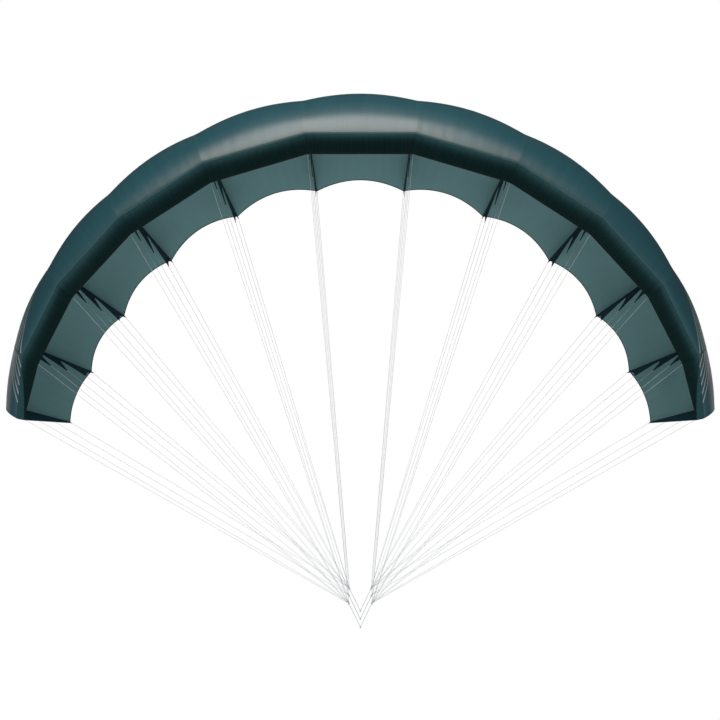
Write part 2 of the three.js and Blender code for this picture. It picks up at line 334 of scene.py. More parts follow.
def cord(name, points, radius):
    """A round cord along points in mm, as a curve of one open spline."""
    curve = bpy.data.curves.new(name, "CURVE")
    curve.dimensions = "3D"
    curve.bevel_depth = radius * MM
    curve.bevel_resolution = 2
    curve.use_fill_caps = True
    spline = curve.splines.new("POLY")
    spline.points.add(len(points) - 1)
    for point, knot in zip(points, spline.points):
        knot.co = (*(np.asarray(point) * MM), 1)
    spline.use_smooth = True
    curve.materials.append(braided_line)
    return new_object(name, curve)


for side_name, side in SIDES.items():
    made = []
    for row in ROWS:
        for station, tie, start, end in fan_lines(row, side):
            points = np.linspace(start, end, LINE_POINTS)
            line = cord(f"line_{station.name}_{tie}", points, LINE_RADIUS)
            belongs(line, f"{row}_lines_{side_name}")
            made.append((float(np.linalg.norm(end - start)) * MM, line, start))
    made.sort(key=lambda item: -item[0])
    print("metres of line on the", side_name, "side:", round(sum(length for length, _, _ in made), 2))

# %% [markdown]
# Where a fan ends, each line is looped round the end of a leader line. One loop is a small ring. It is
# modelled once, an array repeats it for the lines of its row, and a short core with rounded ends is the
# leader's own eye inside them.

# %% One row of loops
LOOP_RADIUS = 2.6
CORE_RADIUS = 2
CORE_MARGIN = 3
ROUND_EDGE = 1
RIM_ANGLE = math.radians(60)
SMOOTH_ANGLE = math.radians(50)
QUARTER_TURN = math.radians(90)


def only(obj):
    """Select one object alone and make it the active one."""
    bpy.ops.object.select_all(action="DESELECT")
    obj.select_set(True)
    bpy.context.view_layer.objects.active = obj


def joined(first, *others):
    """Join meshes into the first one, smooth but for its corners."""
    only(first)
    for other in others:
        other.select_set(True)
    bpy.ops.object.join()
    bpy.ops.object.shade_smooth_by_angle(angle=SMOOTH_ANGLE)
    return first


def fan_loops(name, knot, count):
    """A row of rings round a rounded core, along the chord."""
    half_row = LINE_PITCH * (count - 1) / 2
    bpy.ops.object.select_all(action="DESELECT")
    bpy.ops.mesh.primitive_torus_add(
        location=Vector(knot - (0, half_row, 0)) * MM,
        rotation=(QUARTER_TURN, 0, 0),
        major_radius=LOOP_RADIUS * MM,
        minor_radius=LINE_RADIUS * MM,
        major_segments=16,
        minor_segments=8,
    )
    loops = bpy.context.object
    loops.name = name
    bpy.ops.object.transform_apply()
    row = loops.modifiers.new("row", "ARRAY")
    row.count = count
    row.use_relative_offset = False
    row.use_constant_offset = True
    row.constant_offset_displace = (0, LINE_PITCH * MM, 0)
    bpy.ops.object.modifier_apply(modifier=row.name)
    bpy.ops.mesh.primitive_cylinder_add(
        vertices=12,
        radius=CORE_RADIUS * MM,
        depth=2 * (half_row + CORE_MARGIN) * MM,
        location=Vector(knot) * MM,
        rotation=(QUARTER_TURN, 0, 0),
    )
    core = bpy.context.object
    bpy.ops.object.transform_apply()
    rim = core.modifiers.new("rim", "BEVEL")
    rim.width = ROUND_EDGE * MM
    rim.segments = 2
    rim.limit_method = "ANGLE"
    rim.angle_limit = RIM_ANGLE
    bpy.ops.object.modifier_apply(modifier=rim.name)
    joined(loops, core)
    loops.data.materials.append(braided_line)
    return loops


print("loops are", 2 * (LOOP_RADIUS + LINE_RADIUS), "mm across")

# %% Loops at the fan knots
for row in ROWS:
    for side_name, side in SIDES.items():
        count = len(fan_lines(row, side))
        loops = fan_loops(f"{row}_loops_{side_name}", fan_knot(row, side), count)
        belongs(loops)

# %% [markdown]
# Each leader is a V of thicker line: two arms run from the fan knots down to one overhand knot, where a
# rider's bar or harness takes hold. A trefoil is the shape of an overhand knot drawn tight, and its formula
# is short, so the knot is a tube along it.

# %% Leader lines
LEADER_RADIUS = 1.2
KNOT_SIZE = 1.05
KNOT_POINTS = 48


def overhand_knot(name, centre):
    """A trefoil of leader line, as a closed mesh."""
    turn = np.linspace(0, 2 * math.pi, KNOT_POINTS, endpoint=False)
    x = np.sin(turn) + 2 * np.sin(2 * turn)
    y = -np.sin(3 * turn)
    z = np.cos(turn) - 2 * np.cos(2 * turn)
    knot = cord(name, np.stack((x, y, z), axis=1) * KNOT_SIZE + centre, LEADER_RADIUS)
    knot.data.splines[0].use_cyclic_u = True
    only(knot)
    bpy.ops.object.convert(target="MESH")
    belongs(knot)
    return knot


for row in ROWS:
    low = fan_knot(row, 0) - (0, 0, ARM_RISE)
    knot = overhand_knot(f"{row}_end_knot", low)
    for side_name, side in SIDES.items():
        top = fan_knot(row, side)
        arm = cord(f"{row}_leader_{side_name}", np.linspace(top, low, LINE_POINTS), LEADER_RADIUS)
        belongs(arm, f"{row}_leader")
        width = 2 * LEADER_RADIUS * MM

# %% [markdown]
# The cloth is coated ripstop nylon: a thin plain weave with thicker threads every few millimetres, sealed
# with a resin that gives it a soft, broad shine. The threads follow the cloth, so the pattern reads each
# panel's own UV map, which holds the places across and along the cut panel. The real grid is 5 mm, too fine
# to show at this distance, so it is drawn at 10 mm. Slow streaks along the warp keep a large panel from
# looking printed. One function serves all the cloths, which differ in dye, coating and print.

# %% Ripstop cloth
THREAD_PITCH = 10
THREAD_WIDTH = 2.2
THREAD_HEIGHT = 0.2
WEFT_SHARE = 0.35
STREAK_WIDTH = 16
STREAK_LENGTH = 420
BLOTCH = 260
BLOTCH_SHARE = 0.35
NOISE_LOW, NOISE_HIGH = 0.25, 0.75
SHINE_SWING = 0.05


def cut_panel(tree):
    """The UV map of a cut panel, and the millimetres across and along it."""
    flat = add_node(tree, "TexCoord", {}, give="UV")
    in_mm = add_node(tree, "VectorMath", {0: flat, "Scale": 1 / MM}, operation="SCALE")
    across, along = (add_node(tree, "SeparateXYZ", {0: in_mm}, give=axis) for axis in (0, 1))
    return flat, across, along


def ripstop(name, weave, thread, roughness, gloss, streak=0.12, fade=None, printed=None):
    """Coated ripstop nylon. An attribute fades its colour to a second one at the nose seam: painted light and
    shade. printed adds ink.
    """
    material, tree = new_material(name)
    flat, across, along = cut_panel(tree)
    lines = []
    for run in (across, along):
        away = add_node(tree, "Math", {0: run, 1: THREAD_PITCH / 2}, operation="PINGPONG")
        lines.append(add_node(tree, "MapRange", {0: away, 2: THREAD_WIDTH / 2, 3: 1, 4: 0}))
    weft = add_node(tree, "Math", {0: lines[1], 1: WEFT_SHARE}, operation="MULTIPLY")
    threads = add_node(tree, "Math", {0: lines[0], 1: weft}, operation="MAXIMUM")
    per_streak = (1 / (STREAK_WIDTH * MM), 1 / (STREAK_LENGTH * MM), 0)
    warp = add_node(tree, "VectorMath", {0: flat, 1: per_streak}, operation="MULTIPLY")
    streaks = add_node(tree, "TexNoise", {"Vector": warp, "Scale": 1, "Detail": 2}, give="Fac")
    broad = {"Vector": flat, "Scale": 1 / (BLOTCH * MM), "Detail": 3}
    blotch = add_node(tree, "TexNoise", broad, give="Fac")
    uneven = add_node(tree, "Mix", {0: BLOTCH_SHARE, 2: streaks, 3: blotch})
    noise = {0: uneven, 1: NOISE_LOW, 2: NOISE_HIGH}
    tone, shine = (
        add_node(tree, "MapRange", {**noise, 3: middle - swing, 4: middle + swing})
        for middle, swing in ((1, streak), (roughness, SHINE_SWING))
    )
    dye_and_seam_shading = add_node(tree, "Mix", {0: threads, 6: linear(weave), 7: linear(thread)}, **COLOURS)
    # Painted light and shade: at the nose seam the colour fades to a second one by an attribute
    if fade:
        share = add_node(tree, "Attribute", {}, give="Fac", attribute_name="seam_light_and_shade")
        dye_and_seam_shading = add_node(tree, "Mix", {0: share, 6: dye_and_seam_shading, 7: linear(fade)}, **COLOURS)
    if printed:
        dye_and_seam_shading = printed(tree, dye_and_seam_shading, across, along)
    toned = add_node(tree, "VectorMath", {0: dye_and_seam_shading, "Scale": tone}, operation="SCALE")
    end_finish(tree, toned, shine, gloss, height=threads, depth=THREAD_HEIGHT, strength=0.25)
    return material


# The face is dyed a deep teal, with painted shade at the nose seam, and shines where it bends towards the
# light
# The colour painted at the nose seam: painted shade on the teal face, painted light on the black nose cloth
SEAM_LIGHT_AND_SHADE_TEAL = "#33565b"
TEAL = {"weave": "#295c69", "thread": "#2f6470", "roughness": 0.35, "gloss": 0.95, "fade": SEAM_LIGHT_AND_SHADE_TEAL}
skin_face = ripstop("ripstop_nylon_teal_face", **TEAL)
# The back is flatter and a little paler than the face
skin_back = ripstop("ripstop_nylon_teal_back", "#658c8f", "#6a9194", roughness=0.7, gloss=0.06, streak=0.05)
print("materials:", skin_face.name, skin_back.name)

# %% [markdown]
# The outer cells carry a few fine light pinstripes, printed on the face. They are straight on the cut panel
# and evenly spaced, and slant from the nose seam near the tip up over the cloth. The panel's own coordinates
# place them: millimetres in from the tip, and millimetres from the nose seam.

# %% Pinstripes of the outer cells
PINSTRIPE = "#cdd8d9"
PINSTRIPE_WIDTH = 4
PINSTRIPE_PITCH = 20
PINSTRIPE_SLANT = 0.5
PINSTRIPE_START = 150
PINSTRIPE_BAND = 45


def pinstripes(tree, dye_and_seam_shading, across, along):
    """Thin parallel lines, slanting over the panel."""
    inward = add_node(tree, "Math", {0: PINSTRIPE_START, 1: across}, operation="SUBTRACT")
    slanted = {0: inward, 1: PINSTRIPE_SLANT, 2: along}
    rise = add_node(tree, "Math", slanted, operation="MULTIPLY_ADD")
    away = add_node(tree, "Math", {0: rise, 1: PINSTRIPE_PITCH / 2}, operation="PINGPONG")
    narrow = add_node(tree, "Math", {0: away, 1: PINSTRIPE_WIDTH / 2}, operation="LESS_THAN")
    off = add_node(tree, "Math", {0: rise}, operation="ABSOLUTE")
    near = add_node(tree, "Math", {0: off, 1: PINSTRIPE_BAND}, operation="LESS_THAN")
    ink = add_node(tree, "Math", {0: narrow, 1: near}, operation="MULTIPLY")
    return add_node(tree, "Mix", {0: ink, 6: dye_and_seam_shading, 7: linear(PINSTRIPE)}, **COLOURS)


skin_striped = ripstop("ripstop_nylon_teal_pinstriped", **TEAL, printed=pinstripes)
print("pinstripes:", 2 * (PINSTRIPE_BAND // PINSTRIPE_PITCH) + 1)

# %% [markdown]
# The trailing edge, the lip and the ribs' lower edges are bound with a narrow woven polyester tape, almost
# black. Slanting stitches hold it down. They are drawn 6 mm apart, about twice their real pitch, so that
# they show in a close view.

# %% Binding tape
STITCH_PITCH = 6
STITCH_LENGTH = 4
STITCH_HEIGHT = 0.3
FRAY = 8


def stitched_tape(name, weave, thread, roughness, gloss):
    """Woven tape with slanting stitches along its length."""
    material, tree = new_material(name)
    flat, across, along = cut_panel(tree)
    run = add_node(tree, "Math", {0: across, 1: along}, operation="ADD")
    in_stitch = add_node(tree, "Math", {0: run, 1: STITCH_PITCH, 2: 0}, operation="WRAP")
    stitch = add_node(tree, "Math", {0: in_stitch, 1: STITCH_LENGTH}, operation="LESS_THAN")
    fine = {"Vector": flat, "Scale": 1 / (FRAY * MM), "Detail": 3}
    fray = add_node(tree, "TexNoise", fine, give="Fac")
    mixed = add_node(tree, "Math", {0: stitch, 1: fray}, operation="MULTIPLY")
    colour = add_node(tree, "Mix", {0: mixed, 6: linear(weave), 7: linear(thread)}, **COLOURS)
    end_finish(tree, colour, roughness, gloss, height=mixed, depth=STITCH_HEIGHT, strength=0.4)
    return material


hem_tape = stitched_tape("woven_polyester_hem_tape", "#0b1719", "#162528", roughness=0.75, gloss=0.15)
print("material:", hem_tape.name)

# %% [markdown]
# Every cloth piece is a thin closed sheet between two grids of points. The outer grid is the surface that a
# maker would draw, and the inner one lies a cloth's thickness under it. Building the faces from the grids
# keeps the panel's own coordinates, so the same helper can fill the UV map and give the hem its own finish.

# %% Helpers for sheets
SHEET = 1.0
HEM_EXTRA = 0.5
SHEET_SMOOTH = math.radians(40)


def unit(vectors):
    """The directions of vectors, each of length 1."""
    return vectors / np.linalg.norm(vectors, axis=-1, keepdims=True)


def grid_normals(grid):
    """Outward directions of a grid whose columns run along the span and rows from nose to tail."""
    return unit(np.cross(np.gradient(grid, axis=1), np.gradient(grid, axis=0)))


def row_lengths(grid):
    """Distance along each column of a grid, in mm, from its first row."""
    runs = np.linalg.norm(np.diff(grid, axis=0), axis=-1)
    return np.concatenate((np.zeros((1, grid.shape[1])), np.cumsum(runs, axis=0)))


def flat_size(grid):
    """Width and length in metres of the cloth of a grid, measured along its longest row and column."""
    return tuple(float(row_lengths(run).max()) * MM for run in (grid.swapaxes(0, 1), grid))


def sheet_object(name, outer, inner, flat, finishes, bound_rows=()):
    """A closed sheet. finishes are for its face, its back and the rows that are bound with tape."""
    rows, columns = outer.shape[:2]
    top, under = np.arange(2 * rows * columns).reshape(2, rows, columns)
    row_of = np.arange(rows - 1).repeat(columns - 1)

    def quads(*corners):
        return np.stack([corner.ravel() for corner in corners], axis=1)

    # The face, the back, the first and last rows' edges, and the two sides
    faces = np.concatenate(
        (
            quads(top[:-1, :-1], top[:-1, 1:], top[1:, 1:], top[1:, :-1]),
            quads(under[:-1, :-1], under[1:, :-1], under[1:, 1:], under[:-1, 1:]),
            quads(top[0, 1:], top[0, :-1], under[0, :-1], under[0, 1:]),
            quads(top[-1, :-1], top[-1, 1:], under[-1, 1:], under[-1, :-1]),
            quads(top[:-1, 0], top[1:, 0], under[1:, 0], under[:-1, 0]),
            quads(top[1:, -1], top[:-1, -1], under[:-1, -1], under[1:, -1]),
        )
    )
    face_finish, back_finish, tape_finish = range(3)
    bound = np.isin(row_of, [row % (rows - 1) for row in bound_rows])
    ends = [np.full(columns - 1, tape_finish if row in bound_rows else face_finish) for row in (0, -1)]
    sides = np.full(2 * (rows - 1), face_finish)
    on_face, on_back = (np.where(bound, tape_finish, own) for own in (face_finish, back_finish))
    finish = np.concatenate((on_face, on_back, *ends, sides))
    mesh = bpy.data.meshes.new(name)
    places = np.concatenate((outer.reshape(-1, 3), inner.reshape(-1, 3))) * MM
    mesh.from_pydata(places.tolist(), [], faces.tolist())
    for material in finishes:
        mesh.materials.append(material)
    mesh.polygons.foreach_set("material_index", finish.astype(np.int32))
    coordinates = np.tile(flat.reshape(-1, 2), (2, 1)) * MM
    layer = mesh.uv_layers.new(name="cut_panel")
    layer.data.foreach_set("uv", coordinates[faces.ravel()].astype(np.float32).ravel())
    mesh.update()
    obj = new_object(name, mesh)
    only(obj)
    bpy.ops.object.shade_smooth_by_angle(angle=SHEET_SMOOTH)
    return obj


def set_seam_light_and_shade(obj, values):
    """Store a piece's painted light and shade at the nose seam, the same on its face and its back."""
    attribute = obj.data.attributes.new("seam_light_and_shade", "FLOAT", "POINT")
    attribute.data.foreach_set("value", np.resize(values, len(obj.data.vertices)).astype(np.float32))


print("cloth is drawn", SHEET, "mm thick")

# %% [markdown]
# A skin panel spans one cell, from rib to rib and from the nose seam over the crest to the trailing edge.
# Air pressure billows it out between the ribs, and its trailing edge is cut in a scallop so that it doesn't
# flutter. It could be simulated, but a sheet in steady flight takes a known curve, so the billow is a
# parabola across the cell that grows from the nose to the tail. The tip ribs hold the end cells flatter.
# Sewing gathers the cloth a little at the nose seam: shallow troughs start there and run out at the crest.
# Each gather has its place as a share of the cell from its middle, its half width and its depth in
# millimetres, uneven as in real sewing.

# %% The skin between two ribs
SEAM_GAP = 0.3
BILLOW_AT_CREST = 0.067
BILLOW_AT_TRAIL = 0.092
SCALLOP = 0.12
SCALLOP_POWER = 6
TIP_SLACK = 0.6
GATHER_POWER = 1.5
Gather = namedtuple("Gather", "place half_width depth")
GATHERS = (
    Gather(-0.44, 16, 0.4),
    Gather(-0.32, 22, 0.3),
    Gather(-0.21, 14, 0.5),
    Gather(-0.07, 26, 0.3),
    Gather(0.08, 17, 0.4),
    Gather(0.22, 24, 0.3),
    Gather(0.33, 15, 0.5),
    Gather(0.43, 18, 0.3),
)


def gathered(across, width):
    """Depth in mm of the gathers at a cell's nose seam."""
    away = (across - 0.5) * width
    return sum(g.depth * np.exp(-(((away - g.place * width) / g.half_width) ** 2)) for g in GATHERS)


def bowed(across):
    """The height of a parabola across a cell, 1 in the middle."""
    return 4 * across * (1 - across)


def between(left, right, section, at, across):
    """The span from rib to rib at a place on a section, in mm, and points straight across it."""
    start = in_wing(left, *section(left.rib, at), SEAM_GAP / 2)
    span = in_wing(right, *section(right.rib, at), -SEAM_GAP / 2) - start
    return span, start + span * across[..., None]


def skin_surface(left, right, step, across):
    """Points of a cell's outer surface, in mm, and the cell's width there."""
    width = np.linalg.norm(between(left, right, skin_section, step, across)[0], axis=-1)
    chord = (left.rib.chord + right.rib.chord) / 2
    slack = TIP_SLACK if "tip_rib" in (left.rib.name, right.rib.name) else 1
    cut = slack * SCALLOP * width / chord * bowed(across) * (step / LAST_STEP) ** SCALLOP_POWER
    at = step - cut * TAIL_STEPS
    span, straight = between(left, right, skin_section, at, across)
    near = [between(left, right, skin_section, at + move, across)[1] for move in (-NEAR_STEP, NEAR_STEP)]
    outward = unit(np.cross(span, near[1] - near[0]))
    to_crest = np.sin(np.minimum(at / NOSE_STEPS, 1) * math.pi / 2) ** 2
    to_trail = np.maximum(0, (at - NOSE_STEPS) / TAIL_STEPS)
    billow = BILLOW_AT_CREST * to_crest + (BILLOW_AT_TRAIL - BILLOW_AT_CREST) * to_trail
    gather = gathered(across, width) * np.clip(1 - at / NOSE_STEPS, 0, 1) ** GATHER_POWER
    return straight + outward * (slack * billow * width * bowed(across) - gather)[..., None], width


print("gathers in a cell:", len(GATHERS))

# %% [markdown]
# Each panel gets a grid that is finest round the nose. The last row is a narrow strip along the trailing
# edge: it is the hem, bound with tape, and stands a little thicker than the cloth.

# %% Skin panels
HEM_STEP = 14.9
FOLD_STEP = 1.2
FOLD_ROWS, NOSE_ROWS, TAIL_ROWS = 11, 27, 48
SKIN_STEPS = np.concatenate(
    (
        np.linspace(0, FOLD_STEP, FOLD_ROWS),
        np.linspace(FOLD_STEP, NOSE_STEPS, NOSE_ROWS)[1:],
        np.linspace(NOSE_STEPS, HEM_STEP, TAIL_ROWS)[1:],
        [LAST_STEP],
    )
)
ACROSS = np.linspace(0, 1, 73)
TIP_CELL_WIDTH = 250
STRIPED_CELLS = 2
# The skin is painted darker towards the nose seam over about this many mm: painted shade where the cloth
# turns under
SKIN_FADE = 36
# How much of that painted shade each skin panel shows, from the tip cell to the centre
SKIN_FADE_SHARES = (1, 0.3, 0.4, 0.8, 1, 1)
TIP_FADE_POWER = 3
CELLS = list(enumerate(zip(STATIONS, STATIONS[1:]), 1))


def cells_from_tip(number):
    """0 for a tip cell, 1 for its neighbour, and so on."""
    return min(number - 1, len(CELLS) - number)


def from_tip(number, across):
    """Share of a cell's width, from its side nearer the tip."""
    return across if number <= len(CELLS) / 2 else 1 - across


def fade_shown(number, across):
    """The painted light and shade at the nose seam is full in every cell, but runs out towards the tips."""
    at_tip = cells_from_tip(number) == 0
    return from_tip(number, across) ** TIP_FADE_POWER if at_tip else np.ones_like(across)


for number, (left, right) in CELLS:
    step, across = np.meshgrid(SKIN_STEPS, ACROSS, indexing="ij")
    outer, width = skin_surface(left, right, step, across)
    normals = grid_normals(outer)
    thick = np.where(step >= HEM_STEP, HEM_EXTRA, 0.0)[..., None]
    length = row_lengths(outer)
    inward = cells_from_tip(number) * TIP_CELL_WIDTH + from_tip(number, across) * width
    face = skin_striped if cells_from_tip(number) < STRIPED_CELLS else skin_face
    panel = sheet_object(
        f"skin_panel_{number}_cloth",
        outer + normals * thick,
        outer - normals * (SHEET + thick),
        np.stack((inward, length), axis=-1),
        (face, skin_back, hem_tape),
        bound_rows=(-1,),
    )
    # Painted shade: the face darkens towards the nose seam
    share = SKIN_FADE_SHARES[cells_from_tip(number)]
    set_seam_light_and_shade(panel, share * fade_shown(number, across) * np.exp(-((length / SKIN_FADE) ** 2)))
    belongs(panel, f"skin_panel_{number}")
    flat_size(outer)

# %% [markdown]
# Under the nose lies a dark panel, from the nose seam back to the lip. Where it meets the skin it takes the
# other half of the fold. The teal runs on over the seam as painted light, and fades into black over about two
# fingers' width, except in the tip cells, where the black has a sharp edge and runs out in a point at the
# lip.

# %% Nose cloth
NOSE_BLACK = {"weave": "#122525", "thread": "#264343", "roughness": 0.7, "gloss": 0.0, "streak": 0.2}
# Near the seam the black cloth takes on the seam teal, as painted light
nose_face = ripstop("ripstop_nylon_black_nose", **NOSE_BLACK, fade=SEAM_LIGHT_AND_SHADE_TEAL)
nose_back = ripstop("ripstop_nylon_black_back", "#0d1c1e", "#122325", roughness=0.75, gloss=0.0)
print("materials:", nose_face.name, nose_back.name)

# %% [markdown]
# The nose panels are lofted between neighbouring ribs like the skin, from the lip up to the seam, with a
# slight belly from the air inside and with the same gathers at the seam. The first row is the lip's hem.
# The painted light at the seam reaches furthest half way out: its lengths are listed from a tip cell to the
# middle one.

# %% Nose panels
LIP_HEM = 0.07
NOSE_STRAIGHT = 0.7
STRAIGHT_ROWS, ROUND_ROWS = 10, 7
NOSE_SHARES = np.concatenate(
    (
        [0],
        np.linspace(LIP_HEM, NOSE_STRAIGHT, STRAIGHT_ROWS),
        np.linspace(NOSE_STRAIGHT, 1, ROUND_ROWS)[1:],
    )
)
NOSE_BELLY = 0.008
FADE_LENGTHS = (18, 22, 32, 32, 27, 22)
FADE_POWER = 1.5
TIP_TAPER = 1.5
TAPER_EDGE = 6


def nose_section(rib, share):
    """Along and up, in mm, from the lip (share 0) to the nose seam (share 1)."""
    lip = (LIP_SHARE * rib.chord, 0.0)
    rounded = fold_curve(rib, SEAM_ON_FOLD * np.maximum(share - NOSE_STRAIGHT, 0) / (1 - NOSE_STRAIGHT))
    runs = zip(lip, fold_curve(rib, 0.0), rounded)
    on_straight, run = share < NOSE_STRAIGHT, share / NOSE_STRAIGHT
    return tuple(np.where(on_straight, low + (high - low) * run, curve) for low, high, curve in runs)


def nose_surface(left, right, share, across):
    """Points of a nose panel's outer surface, in mm, and the cell's width there."""
    span, straight = between(left, right, nose_section, share, across)
    width = np.linalg.norm(span, axis=-1)
    belly = NOSE_BELLY * width * bowed(across) * np.sin(math.pi * share)
    gather = gathered(across, width) * share**2
    return straight + grid_normals(straight) * (belly - gather)[..., None], width


def nose_fade(number, across, from_seam, panel_length):
    """How far the teal, painted light near the seam, has taken over the nose cloth. In a tip cell it reaches
    the lip at the tip.
    """
    reach = FADE_LENGTHS[cells_from_tip(number)]
    fade = fade_shown(number, across) * np.exp(-((from_seam / reach) ** FADE_POWER))
    if cells_from_tip(number) > 0:
        return fade
    covered = (1 - from_tip(number, across)) ** TIP_TAPER * panel_length
    return np.maximum(fade, np.clip((covered - from_seam) / TAPER_EDGE, 0, 1))


nose_lengths = {}
for number, (left, right) in CELLS:
    share, across = np.meshgrid(NOSE_SHARES, ACROSS, indexing="ij")
    outer, width = nose_surface(left, right, share, across)
    length = row_lengths(outer)
    from_seam = length[-1] - length
    panel = sheet_object(
        f"nose_panel_{number}_cloth",
        outer,
        outer - grid_normals(outer) * SHEET,
        np.stack(((across - 0.5) * width, from_seam), axis=-1),
        (nose_face, nose_back, hem_tape),
        bound_rows=(0,),
    )
    # Painted light: the teal from the seam over the black nose cloth
    set_seam_light_and_shade(panel, nose_fade(number, across, from_seam, length[-1]))
    belongs(panel, f"nose_panel_{number}")
    flat_size(outer)
    nose_lengths[number] = length[-1]
print("nose panels:", len(nose_lengths))

# %% [markdown]
# The ribs are cut from the darkest cloth. An inner rib hangs from the skin like a row of bunting: arches are
# cut out between the lip, three pointed flares and the trailing edge, so that the pull of each line spreads
# into the cloth. The sheet is built in columns from its lower edge to the skin, and its lowest row is the
# binding tape.

# %% Rib cloth and outlines
TRAIL_ARCH = 0.25
HANDLE_SHARE = 0.75
ARCH_COLUMNS = 15
NOSE_COLUMNS = 14
FIRST_TURN = 0.16
TAIL_END = 0.1
ARCH_SAMPLES, SKIN_SAMPLES, NOSE_SAMPLES = 600, 900, 200
rib_face = ripstop("ripstop_nylon_rib", "#0e303f", "#133849", roughness=0.65, gloss=0.12)


def arch(rib, start, end, share):
    """The lower edge of a rib between two ties: a cubic curve whose two handles lie under the skin."""
    t = np.linspace(0, 1, ARCH_COLUMNS)
    middle, base = (start + end) / 2
    skin_up = np.interp(middle, *skin_section(rib, np.linspace(0, LAST_STEP, ARCH_SAMPLES)))
    handle = np.array((middle, base + share / HANDLE_SHARE * (skin_up - base)))
    first, last = start + (FLARE_TIP / 2, 0), end - (FLARE_TIP / 2, 0)
    return np.outer((1 - t) ** 3, first) + np.outer(3 * t * (1 - t), handle) + np.outer(t**3, last)


def rib_edges(rib):
    """Matching points of a rib's lower edge and of its edge under the skin, along and up in mm."""
    tied = ties(rib)
    skin_along, skin_up = inset_section(rib, np.linspace(0, LAST_STEP, SKIN_SAMPLES), SHEET)
    nose_along, nose_up = (c[::-1] for c in nose_section(rib, np.linspace(0, 1, NOSE_SAMPLES)))
    turn = np.linspace(FIRST_TURN, math.pi / 2, NOSE_COLUMNS)
    nose_x = skin_along[0] + (nose_along[-1] - skin_along[0]) * (1 - np.cos(turn))
    pieces = [np.stack((nose_x, np.interp(nose_x, nose_along, nose_up + SHEET)), axis=1)]
    shares = [flare.arch for flare in FLARES] + [TRAIL_ARCH]
    if rib.name == "tip_rib":
        pieces.append(np.linspace(tied["lip"], tied["trail"], len(shares) * ARCH_COLUMNS))
    else:
        points = list(tied.values())
        pieces += [arch(rib, start, end, rise) for start, end, rise in zip(points, points[1:], shares)]
    pieces.append(tied["trail"][None])
    lower = np.concatenate(pieces)
    near_end = np.clip((lower[:, 0] / rib.chord - (1 - TAIL_END)) / TAIL_END, 0, 1)
    upper_x = lower[:, 0] + near_end / near_end[-1] * (skin_along[-1] - lower[-1, 0])
    return lower, np.stack((upper_x, np.interp(upper_x, skin_along, skin_up)), axis=1)


print("material:", rib_face.name)

# %% Ribs
RIB_SHEET = 1.0
RIB_ROWS = 8
BINDING = 6
BINDING_MOST = 0.4

for station in STATIONS:
    lower, upper = rib_edges(station.rib)
    height = np.linalg.norm(upper - lower, axis=1)
    bound = np.minimum(BINDING / height, BINDING_MOST)
    shares = [np.zeros_like(bound)] + [bound + (1 - bound) * s for s in np.linspace(0, 1, RIB_ROWS)]
    flat = np.stack([lower + (upper - lower) * share[:, None] for share in shares])
    half = np.full(flat.shape[:2], RIB_SHEET / 2)
    half[:2] += HEM_EXTRA / 2
    near, far = (in_wing(station, flat[..., 0], flat[..., 1], shift) for shift in (-half, half))
    finishes = (rib_face, rib_face, hem_tape)
    rib = sheet_object(f"{station.name}_cloth", far, near, flat, finishes, bound_rows=(0,))
    belongs(rib, station.name)

# %% [markdown]
# Each tie is a tab of black nylon webbing, sewn over the tip of the flare, with the line's loop drawn tight
# below it. Webbing is woven from thick yarns, which look dull and uneven. One tab is modelled from a cube:
# its lower end is narrowed, its edges are bevelled, and a ring is joined to it. Copies are then placed on
# the ribs.

# %% Webbing
YARN = 3
YARN_HEIGHT = 0.3

webbing, tree = new_material("black_nylon_webbing")
place = add_node(tree, "TexCoord", {}, give="Object")
yarns = {"Vector": place, "Scale": 1 / (YARN * MM), "Detail": 2}
rough = add_node(tree, "TexNoise", yarns, give="Fac")
yarn = add_node(tree, "Mix", {0: rough, 6: linear("#0a1316"), 7: linear("#1b2a2e")}, **COLOURS)
end_finish(tree, yarn, roughness=0.8, gloss=0.2, height=rough, depth=YARN_HEIGHT, strength=0.4)
print("material:", webbing.name)

# %% One tab
TAB = (5, 14, 2.2)
TAB_FOOT = 0.6
TAB_BEVEL = 0.5
RING_RADIUS = 1.9
RING_LINE = 0.6


def model_tab():
    """One tab with its ring, in its rib's plane, with the tie at the origin."""
    bpy.ops.object.select_all(action="DESELECT")
    bpy.ops.mesh.primitive_cube_add(size=1, location=(0, TAB[1] / 2 * MM, 0), scale=Vector(TAB) * MM)
    tab = bpy.context.object
    bpy.ops.object.transform_apply()
    bpy.ops.object.mode_set(mode="EDIT")
    bpy.ops.mesh.select_all(action="DESELECT")
    bpy.ops.object.mode_set(mode="OBJECT")
    for vertex in tab.data.vertices:
        vertex.select = vertex.co.y < TAB_BEVEL * MM
    bpy.ops.object.mode_set(mode="EDIT")
    bpy.ops.transform.resize(value=(TAB_FOOT, 1, 1), center_override=(0, 0, 0))
    bpy.ops.mesh.select_all(action="SELECT")
    bpy.ops.mesh.bevel(offset=TAB_BEVEL * MM, segments=2, affect="EDGES")
    bpy.ops.object.mode_set(mode="OBJECT")
    tab.data.materials.append(webbing)
    bpy.ops.mesh.primitive_torus_add(
        location=(0, 0, 0),
        rotation=(QUARTER_TURN, 0, QUARTER_TURN),
        major_radius=RING_RADIUS * MM,
        minor_radius=RING_LINE * MM,
        major_segments=14,
        minor_segments=6,
    )
    ring = bpy.context.object
    ring.data.materials.append(braided_line)
    bpy.ops.object.transform_apply()
    return joined(tab, ring)


pattern_tab = model_tab()
print("faces of a tab:", len(pattern_tab.data.polygons))

